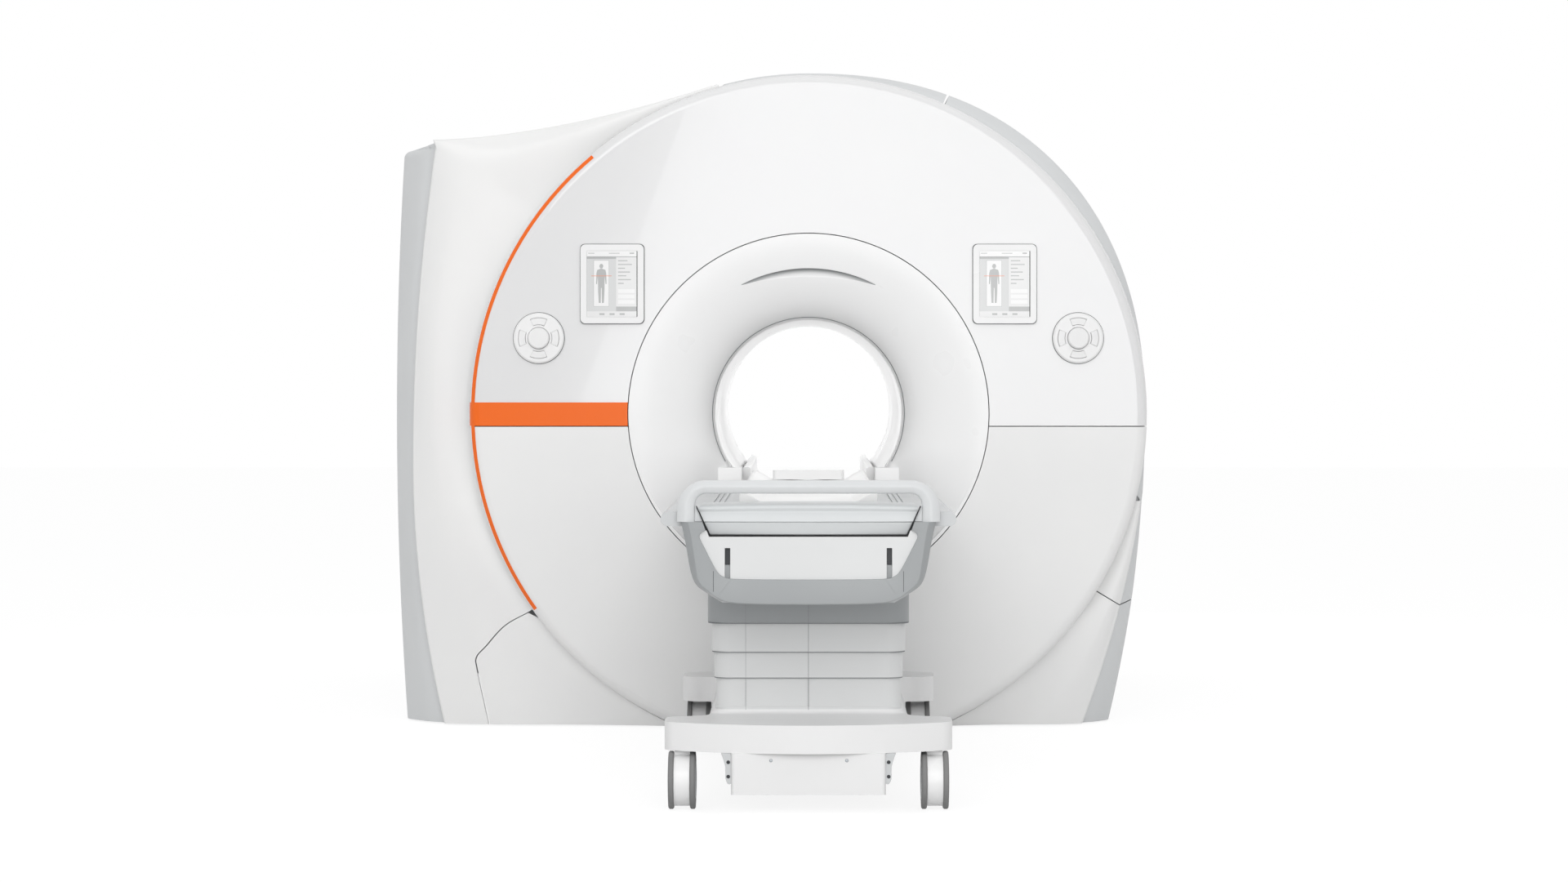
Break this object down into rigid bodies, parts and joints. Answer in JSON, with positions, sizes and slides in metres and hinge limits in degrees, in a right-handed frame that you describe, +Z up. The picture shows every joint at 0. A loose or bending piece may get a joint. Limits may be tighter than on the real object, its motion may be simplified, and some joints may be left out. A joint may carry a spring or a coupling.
{
  "type": "mri scanner",
  "caption": "Whole-body magnetic resonance scanner: round-faced magnet with a patient bore, displays and controls, and a docked wheeled table that lifts, slides into the bore and rolls away.",
  "frame": {"origin": "on the floor straight below the isocentre, on the underside of the magnet base", "axes": "+X to the right seen from the table end, +Y along the bore into the magnet, +Z up"},
  "size_m": [2.427, 4.377, 2.096],
  "materials": {
    "cover_white": "moulded satin white",
    "cover_grey_gloss": "glossy light grey",
    "panel_grey": "satin grey",
    "orange_film": "glossy film",
    "screen": "display glass",
    "control_white": "satin",
    "vessel_steel": "painted",
    "winding_copper": "copper",
    "coil_resin": "cast resin over conductors",
    "frame_steel": "powder coated",
    "trolley_white": "satin",
    "trolley_grey": "satin",
    "trough_grey": "painted extrusion",
    "column_metal": "anodised",
    "tyre_grey": "matt"
  },
  "bodies": {
    "scanner": {"front_upper_cover": "cover_grey_gloss", "front_lower_cover": "cover_white", "front_funnel": "cover_white", "table_throat": "cover_white", "shoulder_blocks": "cover_white", "bore_liner": "cover_white", "bore_rails": "cover_white", "orange_accent": "orange_film", "left_side_cover": "cover_white", "left_access_cover": "cover_white", "left_side_panel": "panel_grey", "top_cover": "panel_grey", "right_side_panel": "panel_grey", "right_lower_cover": "cover_white", "right_access_cover": "cover_white", "right_foot_panel": "panel_grey", "rear_cover": "cover_white", "displays": "cover_white", "screens": "screen", "control_ring_left": "control_white", "control_ring_right": "control_white", "cryostat": "vessel_steel", "magnet_windings": "winding_copper", "gradient_coil": "coil_resin", "magnet_base": "frame_steel", "docking_station": "panel_grey"},
    "trolley": {"chassis": "frame_steel", "base_cover": "trolley_white", "front_box": "trolley_white", "shroud_base": "trolley_white", "lift_column_outer": "column_metal"},
    "lift_frame": {"lift_column_inner": "column_metal", "shroud_top": "trolley_grey", "table_trough": "trough_grey", "end_frame": "trolley_grey", "end_panel": "trolley_white", "foot_end_cover": "trolley_grey", "push_handle": "trolley_grey"},
    "mid_shroud": {"shroud_mid": "trolley_white"},
    "low_shroud": {"shroud_low": "trolley_white"},
    "table_board": {"tabletop": "cover_white", "head_block": "cover_white"},
    "left_knob": {"knob_left": "control_white"},
    "right_knob": {"knob_right": "control_white"},
    "left_key_up": {"button_left_up": "control_white"},
    "left_key_out": {"button_left_out": "control_white"},
    "left_key_down": {"button_left_down": "control_white"},
    "left_key_in": {"button_left_in": "control_white"},
    "right_key_up": {"button_right_up": "control_white"},
    "right_key_out": {"button_right_out": "control_white"},
    "right_key_down": {"button_right_down": "control_white"},
    "right_key_in": {"button_right_in": "control_white"},
    "front_left_castor": {"castor_front_left": "trolley_white"},
    "front_left_wheels": {"wheels_front_left": "tyre_grey"},
    "front_right_castor": {"castor_front_right": "trolley_white"},
    "front_right_wheels": {"wheels_front_right": "tyre_grey"},
    "rear_left_castor": {"castor_rear_left": "trolley_white"},
    "rear_left_wheels": {"wheels_rear_left": "tyre_grey"},
    "rear_right_castor": {"castor_rear_right": "trolley_white"},
    "rear_right_wheels": {"wheels_rear_right": "tyre_grey"}
  },
  "joints": [
    {"name": "trolley_undock", "type": "slide", "parent": "scanner", "child": "trolley", "axis": [0, 1, 0], "range_m": [-0.6, 0]},
    {"name": "table_lift", "type": "slide", "parent": "trolley", "child": "lift_frame", "axis": [0, 0, 1], "range_m": [-0.22, 0]},
    {"name": "mid_shroud_lift", "type": "slide", "parent": "trolley", "child": "mid_shroud", "axis": [0, 0, 1], "range_m": [-0.15, 0]},
    {"name": "low_shroud_lift", "type": "slide", "parent": "trolley", "child": "low_shroud", "axis": [0, 0, 1], "range_m": [-0.075, 0]},
    {"name": "tabletop_slide", "type": "slide", "parent": "lift_frame", "child": "table_board", "axis": [0, 1, 0], "range_m": [0, 1.85]},
    {"name": "left_knob_turn", "type": "hinge", "parent": "scanner", "child": "left_knob", "pos_m": [-0.856, -1.077, 1.24], "axis": [0, 1, 0], "continuous": true},
    {"name": "left_key_up_press", "type": "slide", "parent": "scanner", "child": "left_key_up", "axis": [0, 1, 0], "range_m": [0, 0.0015], "stiffness_N_per_m": 900},
    {"name": "left_key_out_press", "type": "slide", "parent": "scanner", "child": "left_key_out", "axis": [0, 1, 0], "range_m": [0, 0.0015], "stiffness_N_per_m": 900},
    {"name": "left_key_down_press", "type": "slide", "parent": "scanner", "child": "left_key_down", "axis": [0, 1, 0], "range_m": [0, 0.0015], "stiffness_N_per_m": 900},
    {"name": "left_key_in_press", "type": "slide", "parent": "scanner", "child": "left_key_in", "axis": [0, 1, 0], "range_m": [0, 0.0015], "stiffness_N_per_m": 900},
    {"name": "right_knob_turn", "type": "hinge", "parent": "scanner", "child": "right_knob", "pos_m": [0.856, -1.077, 1.24], "axis": [0, 1, 0], "continuous": true},
    {"name": "right_key_up_press", "type": "slide", "parent": "scanner", "child": "right_key_up", "axis": [0, 1, 0], "range_m": [0, 0.0015], "stiffness_N_per_m": 900},
    {"name": "right_key_out_press", "type": "slide", "parent": "scanner", "child": "right_key_out", "axis": [0, 1, 0], "range_m": [0, 0.0015], "stiffness_N_per_m": 900},
    {"name": "right_key_down_press", "type": "slide", "parent": "scanner", "child": "right_key_down", "axis": [0, 1, 0], "range_m": [0, 0.0015], "stiffness_N_per_m": 900},
    {"name": "right_key_in_press", "type": "slide", "parent": "scanner", "child": "right_key_in", "axis": [0, 1, 0], "range_m": [0, 0.0015], "stiffness_N_per_m": 900},
    {"name": "front_left_swivel", "type": "hinge", "parent": "trolley", "child": "front_left_castor", "pos_m": [-0.3275, -3.143, 0.15], "axis": [0, 0, 1], "continuous": true},
    {"name": "front_left_roll", "type": "hinge", "parent": "front_left_castor", "child": "front_left_wheels", "pos_m": [-0.3275, -3.165, 0.075], "axis": [1, 0, 0], "continuous": true},
    {"name": "front_right_swivel", "type": "hinge", "parent": "trolley", "child": "front_right_castor", "pos_m": [0.3275, -3.143, 0.15], "axis": [0, 0, 1], "continuous": true},
    {"name": "front_right_roll", "type": "hinge", "parent": "front_right_castor", "child": "front_right_wheels", "pos_m": [0.3275, -3.165, 0.075], "axis": [1, 0, 0], "continuous": true},
    {"name": "rear_left_swivel", "type": "hinge", "parent": "trolley", "child": "rear_left_castor", "pos_m": [-0.3275, -1.66, 0.15], "axis": [0, 0, 1], "continuous": true},
    {"name": "rear_left_roll", "type": "hinge", "parent": "rear_left_castor", "child": "rear_left_wheels", "pos_m": [-0.3275, -1.682, 0.075], "axis": [1, 0, 0], "continuous": true},
    {"name": "rear_right_swivel", "type": "hinge", "parent": "trolley", "child": "rear_right_castor", "pos_m": [0.3275, -1.66, 0.15], "axis": [0, 0, 1], "continuous": true},
    {"name": "rear_right_roll", "type": "hinge", "parent": "rear_right_castor", "child": "rear_right_wheels", "pos_m": [0.3275, -1.682, 0.075], "axis": [1, 0, 0], "continuous": true}
  ],
  "couplings": [
    {"joint": "mid_shroud_lift", "follows": "table_lift", "ratio": 0.6667},
    {"joint": "low_shroud_lift", "follows": "table_lift", "ratio": 0.3333}
  ]
}
